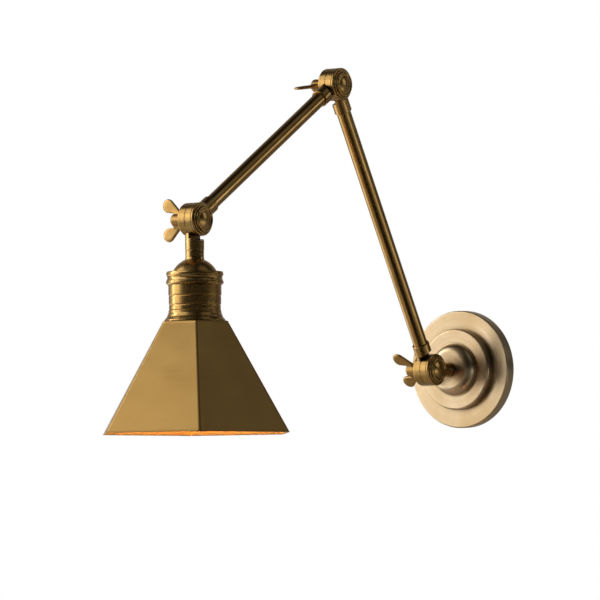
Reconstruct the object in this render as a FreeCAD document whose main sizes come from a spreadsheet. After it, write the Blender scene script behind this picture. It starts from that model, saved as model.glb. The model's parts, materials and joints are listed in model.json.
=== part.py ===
import FreeCAD, Part
import math
import os
import Sketcher

# Articulating wall lamp in antique brass, millimetres.
# The wall is the plane y = 0, the lamp reaches out towards -y, and +z is up.
# The origin is the centre of the rose's back face.  All three knuckle pivots lie along x,
# so both arms and the head swing in the upright plane x = 0.
#
# Local frames that the sub-parts are drawn in:
#   rose pieces      z is the distance out from the wall
#   knuckle pieces   x is the pivot axis, +z points along the link that the piece belongs to
#   arm tubes        z runs along the arm from the lower pivot
#   head pieces      the head pivot is the origin and z is up, so the shade lies at -z

SIZES = {
    # wall rose
    "backplate_radius": 50.0,
    "backplate_depth": 9.1,
    "backplate_wall": 1.6,
    "backplate_edge": 1.2,
    "step_radius": 34.5,
    "step_depth": 6.9,
    "step_wall": 1.8,
    "step_hub": 2.7,
    "step_edge": 1.7,
    "boss_radius": 22.8,
    "boss_depth": 9.0,
    "boss_face_radius": 15.6,
    "boss_foot": 1.2,
    "boss_ledge": 0.6,
    "boss_curve": 8.6,
    # stem that passes through the rose
    "stem_radius": 6.4,
    "stem_shank_radius": 5.0,
    "stem_shank_end": 2.7,
    "stem_nut_flats": 15.0,
    "stem_nut_depth": 3.4,
    "stem_washer_radius": 9.5,
    "stem_washer_depth": 0.8,
    # wall strap inside the rose
    "strap_gap": 2.0,
    "strap_width": 16.0,
    "strap_gauge": 2.0,
    "strap_tab_height": 7.0,
    "strap_slot_spacing": 60.0,
    "strap_slot_length": 9.0,
    "strap_slot_width": 4.6,
    "strap_centre_hole": 5.5,
    "grub_radius": 2.0,
    "grub_height": 4.6,
    "grub_length": 5.2,
    "grub_sunk": 0.4,
    # mains terminals inside the rose
    "terminal_length": 22.0,
    "terminal_width": 15.0,
    "terminal_depth": 6.0,
    "terminal_from_rim": 22.0,
    "terminal_screw_radius": 1.4,
    "terminal_screw_length": 3.6,
    "terminal_screw_sunk": 0.6,
    "earth_screw_radius": 2.0,
    "earth_head_radius": 3.6,
    "earth_head_depth": 2.4,
    "earth_offset": 17.0,
    # knuckle joints, the same at the wall, the elbow and the head
    "pivot_from_wall": 53.5,
    "barrel_radius": 13.5,
    "cap_half_depth": 8.4,
    "wing_half_depth": 7.6,
    "barrel_edge": 0.9,
    "wing_edge": 1.4,
    "barrel_groove_in": 1.9,
    "barrel_groove_width": 0.5,
    "barrel_groove_depth": 0.35,
    "seam_gap": 0.5,
    "undercut_radius": 17.2,
    "stub_radius": 7.25,
    "head_stub_radius": 7.6,
    "stub_end": 25.0,
    "stub_edge": 0.4,
    "socket_depth": 7.0,
    "wire_radius": 2.6,
    "wire_offset": 3.9,
    "cavity_inner": 5.6,
    "cavity_outer": 11.0,
    "cavity_floor": 1.8,
    # pivot bolt, washers and wing nut
    "bolt_radius": 3.0,
    "bolt_head_radius": 10.3,
    "bolt_head_depth": 1.7,
    "bolt_rim_width": 1.5,
    "bolt_rim_slope": 0.5,
    "bolt_dish_depth": 0.9,
    "bolt_dome_radius": 6.6,
    "bolt_dome_height": 1.3,
    "bolt_beyond_nut": 1.0,
    "cap_washer_radius": 11.7,
    "cap_washer_depth": 1.2,
    "friction_inner": 11.2,
    "friction_outer": 12.9,
    "spring_washer_radius": 6.2,
    "spring_washer_depth": 1.3,
    "hub_radius": 5.6,
    "hub_length": 12.4,
    "hub_edge": 0.6,
    "wing_gauge": 2.7,
    "wing_lobe_radius": 5.6,
    "wing_lobe_out": 17.3,
    "wing_lobe_rise": 11.8,
    "wing_root_near": 3.4,
    "wing_root_far": 10.6,
    "wing_root_radius": 3.4,
    "wall_wing_turn": 37.0,
    "elbow_wing_turn": 98.0,
    "head_wing_turn": 0.0,
    # arms
    "tube_radius": 6.0,
    "tube_wall": 1.0,
    "lower_arm_length": 268.0,
    "lower_arm_rise": 62.3,
    "upper_arm_length": 223.9,
    "upper_arm_fall": 30.8,
    "head_tilt": 1.8,
    # neck and dome of the head, measured down from the head pivot
    "head_stub_end": 24.9,
    "neck_radius": 7.45,
    "neck_foot_radius": 7.8,
    "neck_foot_rise": 2.0,
    "dome_top": 32.3,
    "dome_sphere": 19.8,
    "dome_centre": 50.5,
    "dome_wall": 1.5,
    "dome_skirt_radius": 17.9,
    "dome_flange_radius": 20.8,
    "dome_flange_depth": 1.3,
    "nipple_radius": 4.9,
    "nipple_bore": 2.9,
    "nipple_end": 50.4,
    "neck_nut_flats": 12.4,
    "neck_nut_depth": 3.0,
    # gallery collar, sleeve and flared fitter
    "collar_top": 41.8,
    "collar_lip_depth": 1.4,
    "collar_lip_bore": 18.2,
    "collar_shoulder": 22.4,
    "collar_shoulder_depth": 1.3,
    "collar_band_radius": 22.9,
    "collar_bead_radius": 23.7,
    "collar_bead_top": 44.7,
    "collar_bead_bottom": 49.1,
    "collar_cove_radius": 22.6,
    "collar_cove_depth": 0.5,
    "collar_low_radius": 23.1,
    "collar_foot_radius": 21.9,
    "collar_bottom": 52.5,
    "collar_bore": 19.9,
    "sleeve_radius": 21.0,
    "sleeve_upper_step": 0.3,
    "sleeve_bore": 18.7,
    "fitter_spigot_height": 6.0,
    "bead_round": 0.72,
    "bead_half_width": 0.65,
    "bead_upper": 61.2,
    "bead_lower": 68.6,
    "sleeve_bottom": 72.6,
    "fitter_top_radius": 20.75,
    "fitter_top_edge": 0.6,
    "fitter_waist_radius": 21.2,
    "fitter_waist": 74.8,
    "fitter_flare_radius": 22.5,
    "fitter_flare": 77.8,
    "fitter_groove_radius": 22.1,
    "fitter_groove_depth": 0.4,
    "fitter_skirt_radius": 22.9,
    "fitter_skirt_drop": 0.6,
    "fitter_lip_radius": 24.6,
    "fitter_lip_depth": 0.9,
    "fitter_bore": 17.6,
    "fitter_thread_radius": 19.55,
    "fitter_thread_end": 87.6,
    # six-sided shade
    "shade_top": 81.6,
    "shade_bottom": 171.3,
    "shade_top_radius": 29.4,
    "shade_bottom_radius": 84.3,
    "shade_top_corner": 2.8,
    "shade_bottom_corner": 3.6,
    "shade_gauge": 1.1,
    "shade_turn": 10.6,
    "shade_ring_radius": 24.4,
    "shade_ring_depth": 3.4,
    # lampholder and bulb
    "holder_radius": 17.0,
    "holder_top": 46.0,
    "holder_bottom": 85.8,
    "holder_bore": 14.3,
    "holder_deck": 56.4,
    "shell_radius": 14.2,
    "shell_wall": 0.4,
    "shell_bottom": 80.8,
    "contact_depth": 0.8,
    "contact_arm": 10.5,
    "cap_tip_radius": 3.2,
    "cap_tip_depth": 1.2,
    "cap_radius": 13.1,
    "cap_wall": 0.6,
    "cap_shoulder": 3.4,
    "cap_bottom": 84.4,
    "bulb_radius": 22.5,
    "bulb_wall": 1.0,
    "bulb_centre": 112.4,
    "bulb_neck": 100.4,
    "bulb_neck_start": 80.4,
    # clearances
    "running_fit": 0.05,
    "seat_fit": 0.05,
    "screw_fit": 0.1,
}

# The points of a curve, in the order that a sketch counts them.
CURVE_POINTS = ("edge", "start", "far end", "centre")
START_END = CURVE_POINTS.index("start")
FAR_END = CURVE_POINTS.index("far end")
CENTRE = CURVE_POINTS.index("centre")

FULL_TURN = 360.0
HALF_TURN = 180.0
QUARTER_TURN = 90.0
HEX_SIDES = 6


class Size:
    """A length known both as a number and as the sheet formula that gives it."""

    def __init__(self, value, formula):
        self.value = float(value)
        self.formula = formula

    def __add__(self, other):
        other = as_size(other)
        return Size(self.value + other.value, f"({self.formula} + {other.formula})")

    def __sub__(self, other):
        other = as_size(other)
        return Size(self.value - other.value, f"({self.formula} - {other.formula})")

    def __mul__(self, other):
        other = as_size(other)
        return Size(self.value * other.value, f"({self.formula} * {other.formula})")

    def __truediv__(self, other):
        other = as_size(other)
        return Size(self.value / other.value, f"({self.formula} / {other.formula})")

    def __neg__(self):
        return Size(-self.value, f"(0 - {self.formula})")


def as_size(thing):
    """A plain number becomes a Size whose formula is that number."""
    if isinstance(thing, Size):
        return thing
    if thing < 0:
        return Size(thing, f"(0 - {-thing!r})")
    return Size(thing, repr(thing))


def square_root(size):
    return Size(math.sqrt(size.value), f"sqrt({size.formula})")


def cosine(size):
    return Size(math.cos(math.radians(size.value)), f"cos({size.formula})")


def sine(size):
    return Size(math.sin(math.radians(size.value)), f"sin({size.formula})")


def chord(radius, distance):
    """Half the chord of a circle at a distance from its centre."""
    return square_root(radius * radius - distance * distance)


# --- the document and its sheet of driving dimensions --------------------------------------------

doc = FreeCAD.newDocument("wall_lamp")
sheet = doc.addObject("Spreadsheet::Sheet", "sizes")
for row, (alias, number) in enumerate(SIZES.items(), start=1):
    sheet.set(f"A{row}", alias)
    sheet.set(f"B{row}", str(number))
    sheet.setAlias(f"B{row}", alias)
doc.recompute()


class SizeTable:
    """Gives each cell of the sheet as a Size, so size.tube_radius is the cell tube_radius."""

    def __getattr__(self, alias):
        return Size(SIZES[alias], f"sizes.{alias}")


size = SizeTable()
parts = []


# --- drawing helpers -----------------------------------------------------------------------------


def bind(thing, property_path, amount):
    """Ties a property to its sheet formula; a plain number ties it to nothing but itself."""
    thing.setExpression(property_path, as_size(amount).formula)


def new_body(label):
    body = doc.addObject("PartDesign::Body", label)
    body.Label = label
    body.AllowCompound = True
    parts.append(body)
    return body


def origin_feature(body, role):
    for feature in body.Origin.OriginFeatures:
        if feature.Role == role:
            return feature
    raise ValueError(f"{body.Label} has no {role}")


def new_sketch(body, name, role="XZ_Plane", offset=None):
    """A sketch on one of the body's own origin planes, lifted off it by offset."""
    sketch = body.newObject("Sketcher::SketchObject", name)
    sketch.AttachmentSupport = [(origin_feature(body, role), "")]
    sketch.MapMode = "FlatFace"
    if offset is not None:
        bind(sketch, "AttachmentOffset.Base.z", offset)
    return sketch


def place_point(sketch, curve, end, x, y):
    """Holds one end of a curve at x, y from the sketch's origin."""
    for kind, amount in (("DistanceX", as_size(x)), ("DistanceY", as_size(y))):
        index = sketch.addConstraint(Sketcher.Constraint(kind, -1, 1, curve, end, amount.value))
        if "sizes." in amount.formula:
            bind(sketch, f"Constraints[{index}]", amount)


def draw_outline(sketch, corners):
    """A closed outline.  A corner is (x, y), or (x, y, radius) where the edge that leaves it is an
    arc of that radius: a positive radius turns left on the way to the next corner, a negative
    one turns right."""
    count = len(corners)
    joins = []
    for index, corner in enumerate(corners):
        follower = corners[(index + 1) % count]
        ax, ay = as_size(corner[0]), as_size(corner[1])
        bx, by = as_size(follower[0]), as_size(follower[1])
        a = FreeCAD.Vector(ax.value, ay.value, 0)
        b = FreeCAD.Vector(bx.value, by.value, 0)
        if len(corner) == 2:
            curve = sketch.addGeometry(Part.LineSegment(a, b))
            joins.append((curve, START_END, FAR_END))
            continue
        radius = as_size(corner[2])
        reach = abs(radius.value)
        middle = (a + b) * 0.5
        along = (b - a).normalize()
        left = FreeCAD.Vector(-along.y, along.x, 0)
        rise = math.sqrt(max(reach * reach - ((b - a).Length / 2) ** 2, 0.0))
        turn = 1.0 if radius.value > 0 else -1.0
        centre = middle + left * (rise * turn)
        first, last = (a, b) if turn > 0 else (b, a)
        start_angle = math.atan2(first.y - centre.y, first.x - centre.x)
        end_angle = math.atan2(last.y - centre.y, last.x - centre.x)
        circle = Part.Circle(centre, FreeCAD.Vector(0, 0, 1), reach)
        curve = sketch.addGeometry(Part.ArcOfCircle(circle, start_angle, end_angle))
        constraint = sketch.addConstraint(Sketcher.Constraint("Radius", curve, reach))
        if "sizes." in radius.formula:
            bind(sketch, f"Constraints[{constraint}]", radius if turn > 0 else -radius)
        joins.append((curve, START_END, FAR_END) if turn > 0 else (curve, FAR_END, START_END))
    for index, (curve, start, _) in enumerate(joins):
        before, _, end = joins[index - 1]
        sketch.addConstraint(Sketcher.Constraint("Coincident", before, end, curve, start))
        place_point(sketch, curve, start, corners[index][0], corners[index][1])


def draw_circle(sketch, radius, x=0.0, y=0.0):
    radius = as_size(radius)
    centre = FreeCAD.Vector(as_size(x).value, as_size(y).value, 0)
    circle = Part.Circle(centre, FreeCAD.Vector(0, 0, 1), radius.value)
    curve = sketch.addGeometry(circle)
    index = sketch.addConstraint(Sketcher.Constraint("Radius", curve, radius.value))
    bind(sketch, f"Constraints[{index}]", radius)
    place_point(sketch, curve, CENTRE, x, y)


def rectangle(left, bottom, right, top):
    return [(left, bottom), (right, bottom), (right, top), (left, top)]


def hexagon(radius, turn):
    """Corners of a regular hexagon with one corner turned by this many degrees from x."""
    corners = []
    for side in range(HEX_SIDES):
        angle = math.radians(turn + side * FULL_TURN / HEX_SIDES)
        corners.append((radius * math.cos(angle), radius * math.sin(angle)))
    return corners


def hexagon_corner(flats):
    """Distance from a hexagon's centre to its corners, from the distance across its flats."""
    return flats / (2 * math.cos(math.radians(HALF_TURN / HEX_SIDES)))


def rounded_hexagon(radius, corner_radius, turn):
    """A hexagon of sheet metal: flat sides, and bends of corner_radius at its six corners.
    The first corner stands turn degrees round from x."""
    half_corner = HALF_TURN / HEX_SIDES
    bend_reach = corner_radius * math.tan(math.radians(half_corner))
    outline = []
    for side in range(HEX_SIDES):
        angle = turn + side * FULL_TURN / HEX_SIDES
        tip_x = radius * cosine(angle)
        tip_y = radius * sine(angle)
        before = angle - QUARTER_TURN - half_corner
        after = angle + QUARTER_TURN + half_corner
        outline.append((
            tip_x + bend_reach * cosine(before),
            tip_y + bend_reach * sine(before),
            corner_radius,
        ))
        outline.append((
            tip_x + bend_reach * cosine(after),
            tip_y + bend_reach * sine(after),
        ))
    return outline


def revolve(body, name, outline, axis="V_Axis", cut=False):
    """Turns an outline, drawn as (radius, z) or (x, radius), about one of its sketch's axes."""
    sketch = new_sketch(body, f"{name}_profile")
    draw_outline(sketch, outline)
    kind = "PartDesign::Groove" if cut else "PartDesign::Revolution"
    feature = body.newObject(kind, name)
    feature.Profile = sketch
    feature.ReferenceAxis = (sketch, [axis])
    feature.Angle = FULL_TURN
    return feature


def pad(body, sketch, name, length, both_ways=False):
    feature = body.newObject("PartDesign::Pad", name)
    feature.Profile = sketch
    feature.Midplane = both_ways
    bind(feature, "Length", length)
    return feature


def pocket(body, sketch, name, length, upwards=False, both_ways=False):
    """Cuts a sketch away, down from its plane unless upwards is set."""
    feature = body.newObject("PartDesign::Pocket", name)
    feature.Profile = sketch
    feature.Reversed = upwards
    feature.Midplane = both_ways
    bind(feature, "Length", length)
    return feature


def place(body, x=0.0, y=0.0, z=0.0, tilt=0.0):
    """Puts a sub-part at x, y, z after turning it by tilt degrees about x."""
    tilt = as_size(tilt)
    if tilt.value < 0:
        tilt = tilt + FULL_TURN
    turn = FreeCAD.Rotation(FreeCAD.Vector(1, 0, 0), tilt.value)
    spot = FreeCAD.Vector(as_size(x).value, as_size(y).value, as_size(z).value)
    body.Placement = FreeCAD.Placement(spot, turn)
    bind(body, "Placement.Base.x", x)
    bind(body, "Placement.Base.y", y)
    bind(body, "Placement.Base.z", z)
    bind(body, "Placement.Rotation.Angle", tilt)


# --- where the pivots are ------------------------------------------------------------------------

wall_pivot = (as_size(0.0), -size.pivot_from_wall)
elbow_pivot = (
    size.lower_arm_length * sine(size.lower_arm_rise),
    -size.pivot_from_wall - size.lower_arm_length * cosine(size.lower_arm_rise),
)
head_pivot = (
    elbow_pivot[0] - size.upper_arm_length * sine(size.upper_arm_fall),
    elbow_pivot[1] - size.upper_arm_length * cosine(size.upper_arm_fall),
)

# Turn about x that points a piece's +z along each link.
TOWARDS_WALL = -QUARTER_TURN
AWAY_FROM_WALL = QUARTER_TURN
up_lower_arm = as_size(QUARTER_TURN) - size.lower_arm_rise
down_lower_arm = up_lower_arm + HALF_TURN
along_upper_arm = size.upper_arm_fall + QUARTER_TURN
back_up_upper_arm = size.upper_arm_fall - QUARTER_TURN
head_upright = -size.head_tilt
down_the_head = as_size(HALF_TURN) - size.head_tilt


def at_pivot(body, pivot, tilt):
    place(body, 0.0, pivot[1], pivot[0], tilt)


def on_rose(body):
    place(body, 0.0, 0.0, 0.0, AWAY_FROM_WALL)


def on_head(body):
    at_pivot(body, head_pivot, head_upright)


# --- wall rose -----------------------------------------------------------------------------------

step_back = size.backplate_depth
boss_back = step_back + size.step_depth
boss_front = boss_back + size.boss_depth
shank_hole = size.stem_shank_radius + size.seat_fit
strap_half = size.backplate_radius - size.backplate_wall - size.strap_gap
terminal_centre = size.backplate_radius - size.terminal_from_rim


def make_backplate():
    """Spun disc, open to the wall, with a grub-screw hole at the top and bottom of its rim."""
    body = new_body("backplate")
    inner = size.backplate_radius - size.backplate_wall
    front = size.backplate_depth
    revolve(body, "plate", [
        (shank_hole, front - size.backplate_wall),
        (inner, front - size.backplate_wall),
        (inner, 0.0),
        (size.backplate_radius, 0.0),
        (size.backplate_radius, front - size.backplate_edge, size.backplate_edge),
        (size.backplate_radius - size.backplate_edge, front),
        (shank_hole, front),
    ])
    holes = new_sketch(body, "grub_holes")
    draw_circle(holes, size.grub_radius + size.screw_fit, 0.0, size.grub_height)
    pocket(body, holes, "grub_hole_cut", size.backplate_radius * 2, both_ways=True)
    on_rose(body)


def make_step_disc():
    """Smaller turned disc in front of the backplate, hollowed from behind."""
    body = new_body("step_disc")
    front = boss_back
    floor = front - size.step_wall
    inner = size.step_radius - size.step_wall
    hub = shank_hole + size.step_hub
    revolve(body, "disc", [
        (shank_hole, step_back),
        (hub, step_back),
        (hub, floor),
        (inner, floor),
        (inner, step_back),
        (size.step_radius, step_back),
        (size.step_radius, front - size.step_edge, size.step_edge),
        (size.step_radius - size.step_edge, front),
        (shank_hole, front),
    ])
    on_rose(body)


def make_boss():
    """Bell-shaped boss: a flat face, a bulging side and a narrow upright foot."""
    body = new_body("boss")
    revolve(body, "bell", [
        (shank_hole, boss_back),
        (size.boss_radius, boss_back),
        (size.boss_radius, boss_back + size.boss_foot),
        (size.boss_radius - size.boss_ledge, boss_back + size.boss_foot, size.boss_curve),
        (size.boss_face_radius, boss_front),
        (shank_hole, boss_front),
    ])
    on_rose(body)


def make_stem_fixings():
    """Washer and hexagon nut that clamp the rose to the stem from behind."""
    seat = size.backplate_depth - size.backplate_wall
    washer = new_body("stem_washer")
    revolve(washer, "ring", rectangle(
        shank_hole, seat - size.stem_washer_depth, size.stem_washer_radius, seat,
    ))
    on_rose(washer)
    nut = new_body("stem_nut")
    nut_back = seat - size.stem_washer_depth - size.stem_nut_depth
    flats = new_sketch(nut, "nut_flats", "XY_Plane", nut_back)
    draw_outline(flats, hexagon(hexagon_corner(size.stem_nut_flats), 0.0))
    draw_circle(flats, shank_hole)
    pad(nut, flats, "nut_body", size.stem_nut_depth)
    on_rose(nut)


def make_wall_strap():
    """Flat steel bar on the wall with its two ends bent forward to take the rose's screws."""
    body = new_body("wall_strap")
    half = strap_half
    bend = new_sketch(body, "bar_side", "YZ_Plane")
    gauge = size.strap_gauge
    draw_outline(bend, [
        (-half, 0.0),
        (half, 0.0),
        (half, size.strap_tab_height),
        (half - gauge, size.strap_tab_height),
        (half - gauge, gauge),
        (-half + gauge, gauge),
        (-half + gauge, size.strap_tab_height),
        (-half, size.strap_tab_height),
    ])
    pad(body, bend, "bar", size.strap_width, both_ways=True)
    slots = new_sketch(body, "screw_slots", "XY_Plane")
    half_width = size.strap_slot_width / 2
    straight = (size.strap_slot_length - size.strap_slot_width) / 2
    for side in (-1.0, 1.0):
        middle = size.strap_slot_spacing / 2 * side
        draw_outline(slots, [
            (half_width, middle - straight),
            (half_width, middle + straight, half_width),
            (0.0, middle + straight + half_width, half_width),
            (-half_width, middle + straight),
            (-half_width, middle - straight, half_width),
            (0.0, middle - straight - half_width, half_width),
        ])
    draw_circle(slots, size.strap_centre_hole)
    draw_circle(slots, size.earth_screw_radius + size.seat_fit, 0.0, size.earth_offset)
    pocket(body, slots, "slot_cut", size.strap_gauge, upwards=True)
    taps = new_sketch(body, "tab_holes")
    draw_circle(taps, size.grub_radius + size.seat_fit, 0.0, size.grub_height)
    pocket(body, taps, "tab_hole_cut", half * 2, both_ways=True)
    on_rose(body)


def make_grub_screws():
    """The two screws that pass through the rim of the rose into the strap's tabs."""
    body = new_body("grub_screws")
    outer = size.backplate_radius - size.grub_sunk
    inner = outer - size.grub_length
    rod = new_sketch(body, "rod_end")
    draw_circle(rod, size.grub_radius, 0.0, size.grub_height)
    pad(body, rod, "rod", outer * 2, both_ways=True)
    middle = new_sketch(body, "middle_end")
    draw_circle(middle, size.grub_radius * 2, 0.0, size.grub_height)
    pocket(body, middle, "middle_cut", inner * 2, both_ways=True)
    on_rose(body)


def make_terminals():
    """Insulating terminal block on the inside of the rose, with its three clamping screws."""
    back = size.backplate_depth - size.backplate_wall - size.terminal_depth
    left = terminal_centre - size.terminal_width / 2
    block = new_body("terminal_block")
    plan = new_sketch(block, "block_plan", "XY_Plane", back)
    draw_outline(plan, rectangle(
        left, -size.terminal_length / 2, left + size.terminal_width, size.terminal_length / 2,
    ))
    pitch = size.terminal_length / 3
    for way in (-1.0, 0.0, 1.0):
        draw_circle(plan, size.terminal_screw_radius + size.screw_fit,
                    terminal_centre, pitch * way)
    pad(block, plan, "block", size.terminal_depth)
    on_rose(block)
    screws = new_body("terminal_screws")
    ends = new_sketch(screws, "screw_ends", "XY_Plane", back + size.terminal_screw_sunk)
    for way in (-1.0, 0.0, 1.0):
        draw_circle(ends, size.terminal_screw_radius, terminal_centre, pitch * way)
    pad(screws, ends, "screw_bodies", size.terminal_screw_length)
    on_rose(screws)


def make_earth_screw():
    """Earth screw: its shank fills the strap and its head stands on the strap's front."""
    body = new_body("earth_screw")
    shank = new_sketch(body, "shank_plan", "XY_Plane", 0.0)
    draw_circle(shank, size.earth_screw_radius, 0.0, size.earth_offset)
    pad(body, shank, "shank", size.strap_gauge)
    head = new_sketch(body, "head_plan", "XY_Plane", size.strap_gauge)
    draw_circle(head, size.earth_head_radius, 0.0, size.earth_offset)
    pad(body, head, "head", size.earth_head_depth)
    on_rose(body)


# --- knuckle joints ------------------------------------------------------------------------------

CAP_SIDE = 1.0
WING_SIDE = -1.0
seam = size.seam_gap / 2
bolt_hole = size.bolt_radius + size.running_fit
socket_floor = size.stub_end - size.socket_depth
head_seat = size.cap_half_depth + size.cap_washer_depth
nut_seat = size.wing_half_depth + size.spring_washer_depth
nut_end = nut_seat + size.hub_length


def make_knuckle(label, side, stub_radius, stub_outline, stub_bore, pivot, tilt):
    """Half of a knuckle joint with the stub that carries its link.

    The barrel lies on one side of the seam.  The stub is centred on the seam, and is cut back
    round the pivot on the other side, so that the other half's barrel can turn past it."""
    body = new_body(label)
    depth = size.cap_half_depth if side == CAP_SIDE else size.wing_half_depth
    edge = size.barrel_edge if side == CAP_SIDE else size.wing_edge
    outer = size.barrel_radius
    groove_near = depth - size.barrel_groove_in - size.barrel_groove_width
    groove_far = depth - size.barrel_groove_in
    barrel = [
        (seam * side, 0.0),
        (depth * side, 0.0),
        (depth * side, outer - edge, edge * side),
        ((depth - edge) * side, outer),
    ]
    if side == CAP_SIDE:
        barrel += [
            (groove_far, outer),
            (groove_far, outer - size.barrel_groove_depth),
            (groove_near, outer - size.barrel_groove_depth),
            (groove_near, outer),
        ]
    barrel.append((seam * side, outer))
    revolve(body, "barrel", barrel, "H_Axis")
    revolve(body, "stub", stub_outline)
    revolve(body, "undercut", rectangle(
        -stub_radius * side, 0.0, seam * side, size.undercut_radius,
    ), "H_Axis", cut=True)
    cavity_end = depth - size.cavity_floor
    revolve(body, "wire_cavity", rectangle(
        seam * side, size.cavity_inner, cavity_end * side, size.cavity_outer,
    ), "H_Axis", cut=True)
    revolve(body, "bolt_bore", rectangle(
        0.0, 0.0, depth * side, bolt_hole,
    ), "H_Axis", cut=True)
    if stub_bore is not None:
        revolve(body, "stub_bore", stub_bore, cut=True)
    wire_start = (size.cavity_inner + size.cavity_outer) / 2
    wire = new_sketch(body, "wire_hole", "XY_Plane", wire_start)
    draw_circle(wire, size.wire_radius, size.wire_offset * side, 0.0)
    wire_length = stub_outline[-1][1] - wire_start
    pocket(body, wire, "wire_hole_cut", wire_length, upwards=True)
    at_pivot(body, pivot, tilt)


def make_arm_knuckle(label, side, pivot, tilt):
    """Knuckle half whose stub ends in a socket for a tube."""
    radius = size.stub_radius
    end = size.stub_end
    edge = size.stub_edge
    socket = size.tube_radius + size.seat_fit
    outline = [(0.0, 0.0), (radius, 0.0), (radius, end - edge), (radius - edge, end), (0.0, end)]
    bore = rectangle(0.0, socket_floor, socket, end)
    make_knuckle(label, side, radius, outline, bore, pivot, tilt)


def make_stem_knuckle():
    """The fixed half of the wall joint, turned in one with the stem that goes into the rose."""
    radius = size.stem_radius
    shoulder = size.pivot_from_wall - boss_front
    end = size.pivot_from_wall - size.stem_shank_end
    shank = size.stem_shank_radius
    outline = [
        (0.0, 0.0),
        (radius, 0.0),
        (radius, shoulder),
        (shank, shoulder),
        (shank, end),
        (0.0, end),
    ]
    bore = rectangle(0.0, socket_floor, size.wire_radius, end)
    make_knuckle("stem_knuckle", CAP_SIDE, radius, outline, bore, wall_pivot, TOWARDS_WALL)


def make_head_knuckle():
    """Knuckle half that the head hangs from: its stub has a small socket for the neck."""
    radius = size.head_stub_radius
    end = size.head_stub_end
    edge = size.stub_edge
    socket = shank_of_nipple
    outline = [(0.0, 0.0), (radius, 0.0), (radius, end - edge), (radius - edge, end), (0.0, end)]
    bore = rectangle(0.0, socket_floor, socket, end)
    make_knuckle("head_knuckle", WING_SIDE, radius, outline, bore, head_pivot, down_the_head)


def make_pivot_set(joint, pivot, tilt, wing_turn):
    """Bolt, washers and wing nut of one knuckle joint."""
    make_bolt(f"{joint}_bolt", pivot, tilt)
    cap_washer = new_body(f"{joint}_cap_washer")
    low = size.cap_half_depth
    edge = size.cap_washer_depth / 3
    rim = size.cap_washer_radius
    revolve(cap_washer, "ring", [
        (low, bolt_hole),
        (low, rim),
        (head_seat - edge, rim),
        (head_seat, rim - edge),
        (head_seat, bolt_hole),
    ], "H_Axis")
    at_pivot(cap_washer, pivot, tilt)
    friction = new_body(f"{joint}_friction_washer")
    revolve(friction, "ring", rectangle(
        -seam, size.friction_inner, seam, size.friction_outer,
    ), "H_Axis")
    at_pivot(friction, pivot, tilt)
    spring = new_body(f"{joint}_spring_washer")
    revolve(spring, "ring", rectangle(
        -nut_seat, bolt_hole, -size.wing_half_depth, size.spring_washer_radius,
    ), "H_Axis")
    at_pivot(spring, pivot, tilt)
    make_wing_nut(f"{joint}_wing_nut", pivot, wing_turn)


def make_bolt(label, pivot, tilt):
    """Pivot bolt: a round head with a raised rim, a dished face and a domed centre."""
    body = new_body(label)
    front = head_seat + size.bolt_head_depth
    rim = size.bolt_head_radius
    edge = size.bolt_rim_width / 2
    dish = front - size.bolt_dish_depth
    dome = size.bolt_dome_radius
    rise = size.bolt_dome_height
    dome_sphere = (dome * dome + rise * rise) / (rise * 2)
    revolve(body, "bolt", [
        (-nut_end - size.bolt_beyond_nut, 0.0),
        (dish + rise, 0.0, dome_sphere),
        (dish, dome),
        (dish, rim - size.bolt_rim_width - size.bolt_rim_slope),
        (front, rim - size.bolt_rim_width),
        (front, rim - edge, edge),
        (front - edge, rim),
        (head_seat, rim),
        (head_seat, size.bolt_radius),
        (-nut_end - size.bolt_beyond_nut, size.bolt_radius),
    ], "H_Axis")
    at_pivot(body, pivot, tilt)


def make_wing_nut(label, pivot, wing_turn):
    """Wing nut: a round hub on the bolt and two flat lobes that flare out past its end."""
    body = new_body(label)
    hub = size.hub_radius
    edge = size.hub_edge
    revolve(body, "hub", [
        (-nut_seat, 0.0),
        (-nut_seat, hub),
        (-nut_end + edge, hub),
        (-nut_end, hub - edge),
        (-nut_end, 0.0),
    ], "H_Axis")
    wing = new_sketch(body, "wing_side")
    lobe = size.wing_lobe_radius
    lobe_x = -nut_seat - size.wing_lobe_out
    lobe_z = size.wing_lobe_rise
    diagonal = math.sqrt(0.5)
    near = -nut_seat - size.wing_root_near
    far = -nut_seat - size.wing_root_far
    root = size.wing_root_radius
    draw_outline(wing, [
        (near, root),
        (near, hub),
        (lobe_x + lobe * diagonal, lobe_z + lobe * diagonal, lobe),
        (lobe_x - lobe * diagonal, lobe_z + lobe * diagonal, lobe),
        (lobe_x - lobe * diagonal, lobe_z - lobe * diagonal, lobe),
        (lobe_x, lobe_z - lobe),
        (far, hub),
        (far, root),
    ])
    blade = pad(body, wing, "wing", size.wing_gauge, both_ways=True)
    pair = body.newObject("PartDesign::PolarPattern", "wing_pair")
    pair.Originals = [blade]
    pair.Axis = (origin_feature(body, "X_Axis"), [""])
    pair.Angle = FULL_TURN
    pair.Occurrences = 2
    body.Tip = pair
    revolve(body, "thread_bore", rectangle(
        -nut_end, 0.0, -nut_seat, bolt_hole,
    ), "H_Axis", cut=True)
    at_pivot(body, pivot, wing_turn)


# --- arms ----------------------------------------------------------------------------------------


def make_tube(label, length, pivot, tilt):
    """Drawn brass tube that reaches from one knuckle's socket floor to the other's."""
    body = new_body(label)
    section = new_sketch(body, "section", "XY_Plane", socket_floor)
    draw_circle(section, size.tube_radius)
    draw_circle(section, size.tube_radius - size.tube_wall)
    pad(body, section, "tube", length - socket_floor * 2)
    at_pivot(body, pivot, tilt)


# --- head ----------------------------------------------------------------------------------------

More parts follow.
